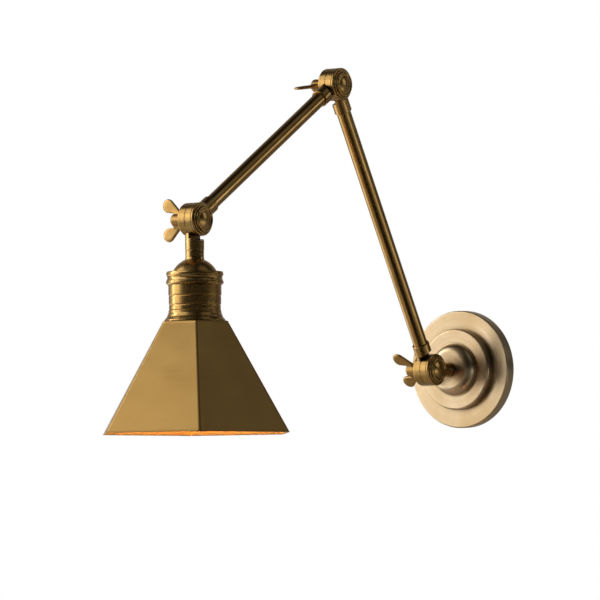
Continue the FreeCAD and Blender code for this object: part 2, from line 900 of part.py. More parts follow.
shank_of_nipple = size.nipple_radius + size.seat_fit
collar_ledge = size.collar_top + size.collar_lip_depth
flange_underside = collar_ledge + size.dome_flange_depth
sleeve_spigot = size.collar_bore - size.seat_fit
fitter_spigot = size.sleeve_bore - size.seat_fit
shade_hole = size.fitter_thread_radius + size.seat_fit


def make_neck():
    """Turned neck with a small foot, in one with the hollow nipple that runs up and down from it."""
    body = new_body("neck")
    thread = size.nipple_radius
    bore = size.nipple_bore
    revolve(body, "neck", [
        (bore, -size.nipple_end),
        (thread, -size.nipple_end),
        (thread, -size.dome_top),
        (size.neck_foot_radius, -size.dome_top),
        (size.neck_radius, -size.dome_top + size.neck_foot_rise),
        (size.neck_radius, -size.head_stub_end),
        (thread, -size.head_stub_end),
        (thread, -socket_floor),
        (bore, -socket_floor),
    ])
    on_head(body)


def make_dome():
    """Spun dome with a flat top under the neck and a flange that the collar holds down."""
    body = new_body("dome")
    hole = shank_of_nipple
    outer = size.dome_sphere
    inner = outer - size.dome_wall
    centre = size.dome_centre
    skirt = size.dome_skirt_radius
    skirt_drop = centre - chord(outer, skirt)
    ceiling = size.dome_top + size.dome_wall
    inner_skirt = skirt - size.dome_wall
    inner_drop = centre - chord(inner, inner_skirt)
    revolve(body, "dome", [
        (hole, -size.dome_top),
        (hole, -ceiling),
        (chord(inner, centre - ceiling), -ceiling, -inner),
        (inner_skirt, -inner_drop),
        (inner_skirt, -flange_underside),
        (size.dome_flange_radius, -flange_underside),
        (size.dome_flange_radius, -collar_ledge),
        (skirt, -collar_ledge),
        (skirt, -skirt_drop, outer),
        (chord(outer, centre - size.dome_top), -size.dome_top),
    ])
    on_head(body)


def make_neck_nut():
    """Hexagon nut on the nipple, inside the dome."""
    body = new_body("neck_nut")
    top = size.dome_top + size.dome_wall
    bottom = top + size.neck_nut_depth
    plan = new_sketch(body, "nut_flats", "XY_Plane", -bottom)
    draw_outline(plan, hexagon(hexagon_corner(size.neck_nut_flats), 0.0))
    draw_circle(plan, shank_of_nipple)
    pad(body, plan, "nut_body", size.neck_nut_depth)
    on_head(body)


def make_collar():
    """Turned collar: a lip over the dome's flange, a raised round bead and a rounded foot."""
    body = new_body("collar")
    top = size.collar_top
    bead = size.collar_bead_radius
    band = size.collar_band_radius
    low = size.collar_low_radius
    foot = size.collar_bottom
    bead_half = (size.collar_bead_bottom - size.collar_bead_top) / 2
    bulge = bead - band
    bead_round = (bead_half * bead_half + bulge * bulge) / (bulge * 2)
    revolve(body, "collar", [
        (size.collar_lip_bore, -top),
        (size.collar_lip_bore, -collar_ledge),
        (size.dome_flange_radius + size.seat_fit, -collar_ledge),
        (size.dome_flange_radius + size.seat_fit, -flange_underside),
        (size.collar_bore, -flange_underside),
        (size.collar_bore, -foot),
        (size.collar_foot_radius, -foot),
        (low, -foot + (low - size.collar_foot_radius)),
        (low, -size.collar_bead_bottom - size.collar_cove_depth),
        (size.collar_cove_radius, -size.collar_bead_bottom),
        (band, -size.collar_bead_bottom, bead_round),
        (band, -size.collar_bead_top),
        (band, -top - size.collar_shoulder_depth),
        (size.collar_shoulder, -top),
    ])
    on_head(body)


def make_sleeve():
    """Gallery sleeve: two fine beads run round it, and its spigot holds the dome up in the collar."""
    body = new_body("gallery_sleeve")
    upper = size.sleeve_radius + size.sleeve_upper_step
    wall = size.sleeve_radius
    low = size.fitter_top_radius
    half = size.bead_half_width
    bead_round = size.bead_round
    top = size.collar_bottom
    revolve(body, "sleeve", [
        (size.sleeve_bore, -flange_underside),
        (size.sleeve_bore, -size.sleeve_bottom),
        (low, -size.sleeve_bottom),
        (low, -size.bead_lower - half, bead_round),
        (wall, -size.bead_lower + half),
        (wall, -size.bead_upper - half, bead_round),
        (upper, -size.bead_upper + half),
        (upper, -top),
        (sleeve_spigot, -top),
        (sleeve_spigot, -flange_underside),
    ])
    on_head(body)


def make_fitter():
    """Flared fitter below the sleeve.  Its thread goes down through the shade's top."""
    body = new_body("shade_fitter")
    lip_top = size.shade_top - size.fitter_lip_depth
    top = size.sleeve_bottom
    thread = size.fitter_thread_radius
    groove = size.fitter_groove_radius
    groove_bottom = size.fitter_flare + size.fitter_groove_depth
    revolve(body, "fitter", [
        (size.fitter_bore, -top + size.fitter_spigot_height),
        (size.fitter_bore, -size.fitter_thread_end),
        (thread, -size.fitter_thread_end),
        (thread, -size.shade_top),
        (size.fitter_lip_radius, -size.shade_top),
        (size.fitter_lip_radius, -lip_top),
        (size.fitter_skirt_radius, -size.fitter_flare - size.fitter_skirt_drop),
        (groove, -groove_bottom),
        (groove, -size.fitter_flare),
        (size.fitter_flare_radius, -size.fitter_flare),
        (size.fitter_waist_radius, -size.fitter_waist),
        (size.fitter_waist_radius, -top - size.fitter_top_edge),
        (size.fitter_top_radius, -top),
        (fitter_spigot, -top),
        (fitter_spigot, -top + size.fitter_spigot_height),
    ])
    on_head(body)


def make_shade():
    """Folded six-sided shade of sheet brass: a flat top with a round hole, open below."""
    body = new_body("shade")
    gauge = size.shade_gauge
    inset = gauge / math.cos(math.radians(HALF_TURN / HEX_SIDES))
    height = size.shade_bottom - size.shade_top
    spread = (size.shade_bottom_radius - size.shade_top_radius) / height
    ceiling_radius = size.shade_top_radius + spread * gauge - inset
    inner_bottom = size.shade_bottom_radius - inset

    def section(name, radius, corner, drop):
        sketch = new_sketch(body, name, "XY_Plane", -drop)
        draw_outline(sketch, rounded_hexagon(radius, corner, size.shade_turn))
        return sketch

    def loft(kind, name, low, high):
        feature = body.newObject(kind, name)
        feature.Profile = low
        feature.Sections = [high]
        feature.Ruled = True

    bottom_corner = size.shade_bottom_corner
    top_corner = size.shade_top_corner
    low = section("bottom_outside", size.shade_bottom_radius, bottom_corner, size.shade_bottom)
    high = section("top_outside", size.shade_top_radius, top_corner, size.shade_top)
    loft("PartDesign::AdditiveLoft", "outside", low, high)
    low = section("bottom_inside", inner_bottom, bottom_corner - gauge, size.shade_bottom)
    high = section("top_inside", ceiling_radius, top_corner - gauge, size.shade_top + gauge)
    loft("PartDesign::SubtractiveLoft", "inside", low, high)
    hole = new_sketch(body, "top_hole", "XY_Plane", -size.shade_top)
    draw_circle(hole, shade_hole)
    pocket(body, hole, "top_hole_cut", gauge * 2)
    on_head(body)


def make_shade_ring():
    """Ring that screws up the fitter's thread and clamps the shade's top."""
    body = new_body("shade_ring")
    top = size.shade_top + size.shade_gauge
    bottom = top + size.shade_ring_depth
    revolve(body, "ring", rectangle(
        shade_hole, -bottom, size.shade_ring_radius, -top,
    ))
    on_head(body)


def make_lampholder():
    """Insulating lampholder, its screw shell and its sprung centre contact."""
    holder = new_body("lampholder")
    revolve(holder, "holder", [
        (shank_of_nipple, -size.holder_top),
        (shank_of_nipple, -size.holder_deck),
        (size.holder_bore, -size.holder_deck),
        (size.holder_bore, -size.holder_bottom),
        (size.holder_radius, -size.holder_bottom),
        (size.holder_radius, -size.holder_top),
    ])
    on_head(holder)
    shell = new_body("screw_shell")
    revolve(shell, "shell", rectangle(
        size.shell_radius - size.shell_wall, -size.shell_bottom, size.shell_radius, -size.holder_deck,
    ))
    on_head(shell)
    contact = new_body("centre_contact")
    deck = size.holder_deck
    revolve(contact, "contact", rectangle(
        0.0, -deck - size.contact_depth, size.contact_arm, -deck,
    ))
    on_head(contact)


def make_bulb():
    """Round screw-cap bulb: a thin metal cap with its tip, and hollow glass that fills its mouth."""
    cap = new_body("bulb_cap")
    tip = size.holder_deck + size.contact_depth
    deck = tip + size.cap_tip_depth
    wall = size.cap_wall
    shoulder = deck + size.cap_shoulder
    mouth = size.cap_radius - wall
    revolve(cap, "cap", [
        (0.0, -tip),
        (0.0, -deck - wall),
        (size.cap_tip_radius, -deck - wall),
        (mouth, -shoulder),
        (mouth, -size.cap_bottom),
        (size.cap_radius, -size.cap_bottom),
        (size.cap_radius, -shoulder),
        (size.cap_tip_radius, -deck),
        (size.cap_tip_radius, -tip),
    ])
    on_head(cap)
    glass = new_body("bulb_glass")
    ball = size.bulb_radius
    hollow = ball - size.bulb_wall
    neck = size.bulb_neck
    depth = size.bulb_centre - neck
    stem = mouth - size.seat_fit
    revolve(glass, "glass", [
        (stem - size.bulb_wall, -size.bulb_neck_start),
        (stem - size.bulb_wall, -size.cap_bottom),
        (chord(hollow, depth), -neck, -hollow),
        (0.0, -size.bulb_centre - hollow),
        (0.0, -size.bulb_centre - ball, ball),
        (chord(ball, depth), -neck),
        (size.cap_radius, -size.cap_bottom),
        (stem, -size.cap_bottom),
        (stem, -size.bulb_neck_start),
    ])
    on_head(glass)


# --- build, check and write ----------------------------------------------------------------------

make_backplate()
make_step_disc()
make_boss()
make_stem_fixings()
make_wall_strap()
make_grub_screws()
make_terminals()
make_earth_screw()
make_stem_knuckle()
make_pivot_set("wall", wall_pivot, TOWARDS_WALL, size.wall_wing_turn)
make_arm_knuckle("lower_arm_foot", WING_SIDE, wall_pivot, up_lower_arm)
make_tube("lower_arm_tube", size.lower_arm_length, wall_pivot, up_lower_arm)
make_arm_knuckle("lower_arm_top", CAP_SIDE, elbow_pivot, down_lower_arm)
make_pivot_set("elbow", elbow_pivot, down_lower_arm, size.elbow_wing_turn)
make_arm_knuckle("upper_arm_root", WING_SIDE, elbow_pivot, along_upper_arm)
make_tube("upper_arm_tube", size.upper_arm_length, elbow_pivot, along_upper_arm)
make_arm_knuckle("upper_arm_tip", CAP_SIDE, head_pivot, back_up_upper_arm)
make_pivot_set("head", head_pivot, back_up_upper_arm, size.head_wing_turn)
make_head_knuckle()
make_neck()
make_dome()
make_neck_nut()
make_collar()
make_sleeve()
make_fitter()
make_shade()
make_shade_ring()
make_lampholder()
make_bulb()
doc.recompute()

broken = []
for item in doc.Objects:
    if "Invalid" in item.State or "Error" in item.State:
        broken.append(f"{item.Name}: {item.State}")
for part in parts:
    if part.Shape.isNull() or not part.Shape.isValid():
        broken.append(f"{part.Label}: no valid shape")
if broken:
    raise RuntimeError("these did not build: " + "; ".join(broken))

os.makedirs("parts", exist_ok=True)
for part in parts:
    part.Shape.exportStep(f"parts/{part.Label}.step")
    print(f"{part.Label}: {len(part.Shape.Solids)} solid(s), {part.Shape.Volume:.1f} cubic mm")
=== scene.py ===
import json
import math

import bmesh
import bpy
import numpy as np
from mathutils import Matrix, Vector


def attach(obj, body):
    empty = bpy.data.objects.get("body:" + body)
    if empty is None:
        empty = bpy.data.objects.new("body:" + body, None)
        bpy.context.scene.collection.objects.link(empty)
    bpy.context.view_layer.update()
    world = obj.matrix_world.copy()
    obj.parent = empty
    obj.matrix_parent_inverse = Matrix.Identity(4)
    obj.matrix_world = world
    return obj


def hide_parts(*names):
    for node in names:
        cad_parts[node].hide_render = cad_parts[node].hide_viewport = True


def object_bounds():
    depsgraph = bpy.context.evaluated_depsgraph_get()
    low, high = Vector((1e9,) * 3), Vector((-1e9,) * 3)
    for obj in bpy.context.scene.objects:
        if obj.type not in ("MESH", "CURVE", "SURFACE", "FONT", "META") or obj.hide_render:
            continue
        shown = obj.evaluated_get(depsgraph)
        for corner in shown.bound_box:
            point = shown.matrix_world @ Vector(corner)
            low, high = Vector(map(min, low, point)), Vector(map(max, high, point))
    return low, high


# Articulating wall lamp in aged brass.  The wall is y = 0, the lamp reaches out to -y and z is up.
# The knuckle pivots lie along x.  Places are in metres, and sizes of the new pieces in millimetres.

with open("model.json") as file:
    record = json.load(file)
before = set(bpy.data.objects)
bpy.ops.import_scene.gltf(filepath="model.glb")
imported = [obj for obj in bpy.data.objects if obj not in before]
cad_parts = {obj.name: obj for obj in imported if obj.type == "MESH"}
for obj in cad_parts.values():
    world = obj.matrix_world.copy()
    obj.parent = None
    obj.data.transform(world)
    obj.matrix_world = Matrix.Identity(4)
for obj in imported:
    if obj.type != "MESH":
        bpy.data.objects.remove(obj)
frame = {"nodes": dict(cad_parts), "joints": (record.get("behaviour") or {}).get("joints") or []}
cad_low, cad_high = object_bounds()
middle = (cad_low + cad_high) / 2

MM = 0.001

# --- where things are ----------------------------------------------------------------------------

pivots = {joint["name"]: Vector(joint["pos_m"]) for joint in frame["joints"]}
wall_pivot = pivots["wall_joint"]
elbow_pivot = pivots["elbow_joint"]
head_pivot = pivots["head_joint"]
HEAD_TILT = math.radians(1.8)
HEAD_AXIS = Vector((0.0, math.sin(HEAD_TILT), math.cos(HEAD_TILT)))
PIVOT_AXIS = Vector((1.0, 0.0, 0.0))
WALL_AXIS = Vector((0.0, -1.0, 0.0))
ORIGIN = Vector((0.0, 0.0, 0.0))


def axis_frame(origin, axis):
    """Matrix from a local frame to the lamp's: local z runs along the axis from the origin."""
    turn = Vector((0.0, 0.0, 1.0)).rotation_difference(axis.normalized())
    return Matrix.Translation(origin) @ turn.to_matrix().to_4x4()


rose_frame = axis_frame(ORIGIN, WALL_AXIS)
head_frame = axis_frame(head_pivot, HEAD_AXIS)
lower_frame = axis_frame(wall_pivot, elbow_pivot - wall_pivot)
upper_frame = axis_frame(elbow_pivot, head_pivot - elbow_pivot)
knuckle_frames = {
    "wall": axis_frame(wall_pivot, PIVOT_AXIS),
    "elbow": axis_frame(elbow_pivot, PIVOT_AXIS),
    "head": axis_frame(head_pivot, PIVOT_AXIS),
}


# --- shader helpers ------------------------------------------------------------------------------

# The colour sockets of a Mix node, whose others are for numbers and vectors.
MIX_FIRST, MIX_SECOND, MIX_RESULT = 6, 7, 2


class Nodes:
    """Adds shader nodes to a tree with short calls."""

    def __init__(self, tree):
        self.tree = tree

    def add(self, kind, **settings):
        node = self.tree.nodes.new(kind)
        for key, value in settings.items():
            setattr(node, key, value)
        return node

    def put(self, value, socket):
        """Sets a socket to a constant, or links it to an output."""
        if isinstance(value, bpy.types.NodeSocket):
            self.tree.links.new(value, socket)
        else:
            socket.default_value = value

    def math(self, operation, a, b):
        node = self.add("ShaderNodeMath", operation=operation)
        self.put(a, node.inputs[0])
        self.put(b, node.inputs[1])
        return node.outputs[0]

    def length(self, vector):
        node = self.add("ShaderNodeVectorMath", operation="LENGTH")
        self.put(vector, node.inputs[0])
        return node.outputs["Value"]

    def dot(self, a, b):
        node = self.add("ShaderNodeVectorMath", operation="DOT_PRODUCT")
        self.put(a, node.inputs[0])
        self.put(b, node.inputs[1])
        return node.outputs["Value"]

    def local(self, matrix):
        """Position in a piece's own frame, from Object coordinates."""
        inverse = matrix.inverted()
        mapping = self.add("ShaderNodeMapping", vector_type="POINT")
        mapping.inputs["Location"].default_value = inverse.to_translation()
        mapping.inputs["Rotation"].default_value = inverse.to_euler("XYZ")
        self.put(self.add("ShaderNodeTexCoord").outputs["Object"], mapping.inputs["Vector"])
        return mapping.outputs["Vector"]

    def split(self, vector):
        node = self.add("ShaderNodeSeparateXYZ")
        self.put(vector, node.inputs[0])
        return node.outputs

    def join(self, x, y, z):
        node = self.add("ShaderNodeCombineXYZ")
        for value, socket in zip((x, y, z), node.inputs):
            self.put(value, socket)
        return node.outputs[0]

    def noise(self, vector, scale, detail, roughness=0.5, distortion=0.0):
        node = self.add("ShaderNodeTexNoise")
        self.put(vector, node.inputs["Vector"])
        node.inputs["Scale"].default_value = scale
        node.inputs["Detail"].default_value = detail
        node.inputs["Roughness"].default_value = roughness
        node.inputs["Distortion"].default_value = distortion
        return node.outputs["Fac"]

    def ramp(self, value, low, high, to_low=0.0, to_high=1.0, curve="LINEAR"):
        node = self.add("ShaderNodeMapRange", interpolation_type=curve)
        self.put(value, node.inputs["Value"])
        for key, number in (("From Min", low), ("From Max", high), ("To Min", to_low), ("To Max", to_high)):
            self.put(number, node.inputs[key])
        return node.outputs["Result"]

    def mix(self, amount, a, b):
        """A mixture of two colours, each an output or a tuple."""
        node = self.add("ShaderNodeMix", data_type="RGBA")
        self.put(amount, node.inputs["Factor"])
        for value, number in ((a, MIX_FIRST), (b, MIX_SECOND)):
            self.put((*value, 1.0) if isinstance(value, tuple) else value, node.inputs[number])
        return node.outputs[MIX_RESULT]

    def blend(self, amount, a, b):
        """A mixture of two whole shaders."""
        node = self.add("ShaderNodeMixShader")
        for value, socket in zip((amount, a, b), node.inputs):
            self.put(value, socket)
        return node.outputs[0]

    def bump(self, height, strength, depth, normal):
        node = self.add("ShaderNodeBump")
        self.put(height, node.inputs["Height"])
        node.inputs["Strength"].default_value = strength
        node.inputs["Distance"].default_value = depth
        self.put(normal, node.inputs["Normal"])
        return node.outputs["Normal"]

    def rounded(self, radius, samples):
        """The normal as it would be if sharp edges were rounded."""
        node = self.add("ShaderNodeBevel", samples=samples)
        node.inputs["Radius"].default_value = radius
        return node.outputs["Normal"]

    def seen_directly(self):
        """1 for rays from the camera, and 1 for these and for reflections and glass alike."""
        path = self.add("ShaderNodeLightPath").outputs
        camera = path["Is Camera Ray"]
        either = self.math("MAXIMUM", camera, path["Is Glossy Ray"])
        return camera, self.math("MAXIMUM", either, path["Is Transmission Ray"])


class Shader(Nodes):
    """The nodes of one new material."""

    def __init__(self, name):
        self.material = bpy.data.materials.new(name)
        self.material.use_nodes = True
        super().__init__(self.material.node_tree)
        self.surface = self.tree.nodes["Principled BSDF"]
        self.inputs = self.surface.inputs


# --- finishes ------------------------------------------------------------------------------------

BRASS_LIGHT = (0.600, 0.370, 0.128)
BRASS_DEEP = (0.430, 0.245, 0.070)
# Near black: the colour of the painted shade in crevices.
CREVICE_SHADE_COLOUR = (0.022, 0.014, 0.008)
BRASS_WORN = (0.740, 0.560, 0.320)
# The rose's brass is paler than the rest: a painted sheen of the bright light its face reflects.
ROSE_SHEEN_LIGHT = (0.710, 0.545, 0.345)
ROSE_SHEEN_DEEP = (0.560, 0.385, 0.190)
SHADE_LIGHT = (0.560, 0.340, 0.108)
SHADE_DEEP = (0.500, 0.295, 0.088)
INSIDE_LIGHT = (0.800, 0.520, 0.170)
INSIDE_DEEP = (0.720, 0.440, 0.130)
GLOW_NECK = (1.0, 0.50, 0.13)
GLOW_MIDDLE = (1.0, 0.56, 0.17)
GLASS = (0.95, 0.85, 0.7, 1.0)
GLASS_ROUGHNESS = 0.25

# How many of each mark there are in a metre.
FINE_LINES = 5200.0
CLEAR_LINES = 850.0
SPECKS = 420.0
GRAINS = 900.0
SLOW_PER_METRE = 40.0

# How far a ring wanders, in ring widths; a line's width as a share of its length; and how many cast
# marks there are for each line.
WANDER = 0.6
DRAWN_SHARE = 0.015
BRUSHED_SHARE = 0.02
CAST_SHARE = 0.4

# Lengths in metres: rounded edges, how far the painted shade in crevices reaches, depth of the marks.
# The fine lines' depth is a share of the clear ones'.
BRASS_EDGE = 0.0004
PLAIN_EDGE = 0.0003
PAINTED_SHADE_REACH = 0.006
LINE_DEPTH = 0.000012
SHADE_LINE_DEPTH = 0.00002
GRAIN_DEPTH = 0.00003
FINE_SHARE = 0.4

# Where each effect starts and is full on its own scale, and how much it then shows.
EDGE_RANGE, EDGE_SHOWS = (0.995, 0.86), 0.7
# The painted shade in crevices follows ambient occlusion.
PAINTED_SHADE_RANGE, PAINTED_SHADE_SHOWS = (0.8, 0.25), 0.8
SCRATCH_RANGE = (0.42, 0.68)
SPECK_RANGE, SPECK_SHOWS = (0.64, 0.8), 0.3
GRAIN_RANGE = (0.35, 0.7)
MIDDLE_RANGE = (0.3, 0.7)
BRASS_BUMP, PLAIN_BUMP = 0.3, 0.4

# What clouds and lines add to a roughness, and what grain multiplies a roughness and a colour by.
CLOUD_SMOOTHER, CLOUD_ROUGHER = -0.03, 0.06
LINE_SMOOTHER, LINE_ROUGHER = -0.03, 0.04
GRAIN_SMOOTHER, GRAIN_ROUGHER = 0.85, 1.2
GRAIN_DARKER = 0.7

# The lit bulb: heights on the head's axis where its colour turns, in metres, and its strength.
GLOW_NECK_HEIGHT, GLOW_MIDDLE_HEIGHT = -0.088, -0.108
GLOW_STRENGTH = 28.0


def line_pattern(shader, place, style, per_metre):
    """Height of the tool marks, from 0 to 1, at a given number per metre.

    turned   rings round the axis, on flat faces and on sides alike
    drawn    straight lines along the axis
    brushed  level lines round a folded sheet, each a few centimetres long
    cast     no direction at all"""
    x, y, z = shader.split(place)
    if style == "turned":
        radius = shader.length(shader.join(x, y, 0.0))
        wander = shader.noise(place, SLOW_PER_METRE, detail=1.0)
        across = shader.join(radius, z, shader.math("MULTIPLY", wander, WANDER / per_metre))
        return shader.noise(across, per_metre, detail=2.0, roughness=0.6)
    if style == "drawn":
        stretched = shader.join(x, y, shader.math("MULTIPLY", z, DRAWN_SHARE))
        return shader.noise(stretched, per_metre, detail=2.0, roughness=0.6)
    if style == "brushed":
        shrunk = [shader.math("MULTIPLY", side, BRUSHED_SHARE) for side in (x, y)]
        return shader.noise(shader.join(*shrunk, z), per_metre, detail=2.5, roughness=0.6)
    return shader.noise(place, per_metre * CAST_SHARE, detail=4.0, roughness=0.6)


def brass(name, matrix, style, roughness, line_depth=LINE_DEPTH, metallic=1.0, light=BRASS_LIGHT,
          deep=BRASS_DEEP, cloud_scale=26.0, cloud_spread=(0.35, 0.68), marks=0.22):
    """Aged brass: tool marks, soft clouds of tarnish, painted shade in the crevices, bright worn edges."""
    shader = Shader(name)
    place = shader.local(matrix)
    fine = line_pattern(shader, place, style, FINE_LINES)
    clear = line_pattern(shader, place, style, CLEAR_LINES)
    clouds = shader.noise(place, cloud_scale, detail=4.0, roughness=0.55, distortion=0.6)
    specks = shader.noise(place, SPECKS, detail=3.0, roughness=0.6)

    rounded = shader.rounded(BRASS_EDGE, samples=6)
    sharp = shader.add("ShaderNodeNewGeometry").outputs["Normal"]
    worn = shader.ramp(shader.dot(rounded, sharp), *EDGE_RANGE)
    # Painted shade: where ambient occlusion finds a crevice, the colour turns near black.
    occlusion = shader.add("ShaderNodeAmbientOcclusion", samples=8)
    occlusion.inputs["Distance"].default_value = PAINTED_SHADE_REACH
    painted_shade = shader.ramp(occlusion.outputs["AO"], *PAINTED_SHADE_RANGE)

    colour = shader.mix(shader.ramp(clouds, *cloud_spread), light, deep)
    colour = shader.mix(shader.ramp(clear, *SCRATCH_RANGE, 0.0, marks), colour, deep)
    colour = shader.mix(shader.ramp(specks, *SPECK_RANGE, 0.0, SPECK_SHOWS), colour, deep)
    colour = shader.mix(shader.math("MULTIPLY", painted_shade, PAINTED_SHADE_SHOWS), colour, CREVICE_SHADE_COLOUR)
    colour = shader.mix(shader.math("MULTIPLY", worn, EDGE_SHOWS), colour, BRASS_WORN)
    shader.put(colour, shader.inputs["Base Color"])

    uneven = shader.ramp(clouds, *MIDDLE_RANGE, roughness + CLOUD_SMOOTHER, roughness + CLOUD_ROUGHER)
    streaks = shader.ramp(clear, *MIDDLE_RANGE, LINE_SMOOTHER, LINE_ROUGHER)
    shader.put(shader.math("ADD", uneven, streaks), shader.inputs["Roughness"])
    shader.put(metallic, shader.inputs["Metallic"])
    surface = shader.bump(clear, BRASS_BUMP, line_depth, rounded)
    surface = shader.bump(fine, BRASS_BUMP, line_depth * FINE_SHARE, surface)
    shader.put(surface, shader.inputs["Normal"])
    return shader.material


def plain(name, colour, roughness, metallic=0.0):
    """Steel, fibre or moulded insulator: fine grain in its colour, gloss and surface."""
    shader = Shader(name)
    grains = shader.noise(shader.local(Matrix.Identity(4)), GRAINS, detail=4.0, roughness=0.6)
    darker = tuple(channel * GRAIN_DARKER for channel in colour)
    shader.put(shader.mix(shader.ramp(grains, *GRAIN_RANGE), colour, darker), shader.inputs["Base Color"])
    gloss = shader.ramp(grains, *MIDDLE_RANGE, roughness * GRAIN_SMOOTHER, roughness * GRAIN_ROUGHER)
    shader.put(gloss, shader.inputs["Roughness"])
    shader.put(metallic, shader.inputs["Metallic"])
    surface = shader.bump(grains, PLAIN_BUMP, GRAIN_DEPTH, shader.rounded(PLAIN_EDGE, samples=4))
    shader.put(surface, shader.inputs["Normal"])
    return shader.material


def lit_glass():
    """Opal bulb glass, lit from within: palest at its middle, a little deeper at the neck."""
    shader = Shader("lit_opal_glass")
    height = shader.split(shader.local(head_frame))[2]
    glow = shader.ramp(height, GLOW_NECK_HEIGHT, GLOW_MIDDLE_HEIGHT)
    shader.put(shader.mix(glow, GLOW_NECK, GLOW_MIDDLE), shader.inputs["Emission Color"])
    shader.put(GLOW_STRENGTH, shader.inputs["Emission Strength"])
    shader.put(GLASS, shader.inputs["Base Color"])
    shader.put(GLASS_ROUGHNESS, shader.inputs["Roughness"])
    return shader.material


finishes = {
    # The rose wears the paler brass with its painted sheen.
    "rose_turned": brass("rose_brass", rose_frame, "turned", roughness=0.3, light=ROSE_SHEEN_LIGHT,
                         deep=ROSE_SHEEN_DEEP, cloud_scale=16.0, marks=0.3),
    "shade_brushed": brass("shade_brass", head_frame, "brushed", roughness=0.33,
                           line_depth=SHADE_LINE_DEPTH, light=SHADE_LIGHT, deep=SHADE_DEEP,
                           cloud_scale=11.0, cloud_spread=(0.3, 0.75)),
    "shade_inside": brass("shade_inside_brass", head_frame, "brushed", roughness=0.6, metallic=0.0,
                          light=INSIDE_LIGHT, deep=INSIDE_DEEP, cloud_scale=12.0),
    "lower_drawn": brass("lower_tube_brass", lower_frame, "drawn", roughness=0.2),
    "upper_drawn": brass("upper_tube_brass", upper_frame, "drawn", roughness=0.2),
    "steel": plain("zinc_steel", (0.55, 0.55, 0.54), 0.35, metallic=1.0),
    "fibre": plain("dark_fibre", (0.03, 0.024, 0.018), 0.8),
    "insulator": plain("black_insulator", (0.02, 0.02, 0.021), 0.45),
    "bulb": lit_glass(),
}
for joint, matrix in knuckle_frames.items():
    finishes[f"{joint}_turned"] = brass(f"{joint}_knuckle_brass", matrix, "turned", roughness=0.24)
    finishes[f"{joint}_cast"] = brass(f"{joint}_wing_brass", matrix, "cast", roughness=0.27)

# What each finish is on.  The head's turned pieces wear the brass of its knuckle, and whatever isn't
# named here is steel.
worn_on = {
    "rose_turned": ["backplate", "step_disc", "boss"],
    "wall_turned": ["stem_knuckle", "lower_arm_foot"],
    "lower_drawn": ["lower_arm_tube"],
    "elbow_turned": ["lower_arm_top", "upper_arm_root"],
    "upper_drawn": ["upper_arm_tube"],
    "head_turned": ["upper_arm_tip", "head_knuckle", "neck", "dome", "collar", "gallery_sleeve",
                    "shade_fitter", "shade_ring", "screw_shell", "centre_contact", "bulb_cap"],
    "shade_brushed": ["shade"],
    "bulb": ["bulb_glass"],
    "insulator": ["lampholder", "terminal_block"],
    "fibre": [f"{joint}_friction_washer" for joint in knuckle_frames],
}
for joint in knuckle_frames:
    worn_on[f"{joint}_turned"] += [f"{joint}_bolt", f"{joint}_cap_washer"]
    worn_on[f"{joint}_cast"] = [f"{joint}_wing_nut"]
wears = {name: finish for finish, names in worn_on.items() for name in names}

for name, node in frame["nodes"].items():
    node.data.materials.clear()
    node.data.materials.append(finishes[wears.get(name, "steel")])


# --- surfaces ------------------------------------------------------------------------------------

# Points of a mesh with poles become one when they are this near, in metres.
SAME_POINT = 1e-7


def outward(points, quads):
    """The quads, turned over if the volume inside them comes out negative."""
    a, b, c, d = (points[quads[:, corner]] for corner in range(4))
    volume = (a * np.cross(b, c)).sum() + (a * np.cross(c, d)).sum()
    return quads if volume > 0.0 else quads[:, ::-1]


def grid_piece(name, shells, matrix, materials, body, replaced, poles=False):
    """One piece from closed shells.  A shell is (points, material numbers): its points are an array
    (across, along, 3) in millimetres in the piece's own frame, closed both ways round.  With poles,
    points that fall together become one."""
    vertices, faces, numbers = [], [], []
    first = 0
    for points, along_material in shells:
        across, along = points.shape[:2]
        place = np.array(matrix.to_3x3()) @ (points.reshape(-1, 3) * MM).T
        place = place.T + np.array(matrix.to_translation())
        vertices.append(place)
        i, j = np.meshgrid(np.arange(across), np.arange(along), indexing="ij")
        right, up = (i + 1) % across, (j + 1) % along
        quads = np.stack([i * along + j, right * along + j, right * along + up, i * along + up], axis=-1)
        centred = place - place.mean(axis=0)
        faces.append(outward(centred, quads.reshape(-1, 4)) + first)
        numbers.append(np.broadcast_to(along_material, (across, along)).reshape(-1))
        first += across * along
    mesh = bpy.data.meshes.new(name)
    mesh.from_pydata(np.concatenate(vertices), [], np.concatenate(faces).tolist())
    mesh.polygons.foreach_set("use_smooth", np.ones(len(mesh.polygons), dtype=bool))
    mesh.polygons.foreach_set("material_index", np.concatenate(numbers).astype(np.int32))
    if poles:
        work = bmesh.new()
        work.from_mesh(mesh)
        bmesh.ops.remove_doubles(work, verts=work.verts, dist=SAME_POINT)
        bmesh.ops.recalc_face_normals(work, faces=work.faces)
        work.to_mesh(mesh)
        work.free()
    for material in materials:
        mesh.materials.append(finishes[material])
    piece = bpy.data.objects.new(name, mesh)
    bpy.context.scene.collection.objects.link(piece)
    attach(piece, body)
    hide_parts(replaced)


def eased(count):
    """Numbers from 0 to 1 that crowd towards both ends, as points on a quarter circle do."""
    return (1.0 - np.cos(np.linspace(0.0, math.pi, count))) / 2


def turned_by(x, y, angle):
    """x and y, turned by an angle about their origin."""
    return x * math.cos(angle) - y * math.sin(angle), x * math.sin(angle) + y * math.cos(angle)


def softened(outline, width):
    """A closed outline with its corners rounded: each point becomes a bell-weighted mean of its
    neighbours along the line."""
    offsets = np.arange(-3 * width, 3 * width + 1)
    weights = np.exp(-(offsets / width) ** 2)
    weights = weights / weights.sum()
    return sum(weight * np.roll(outline, offset, axis=0) for weight, offset in zip(weights, offsets))


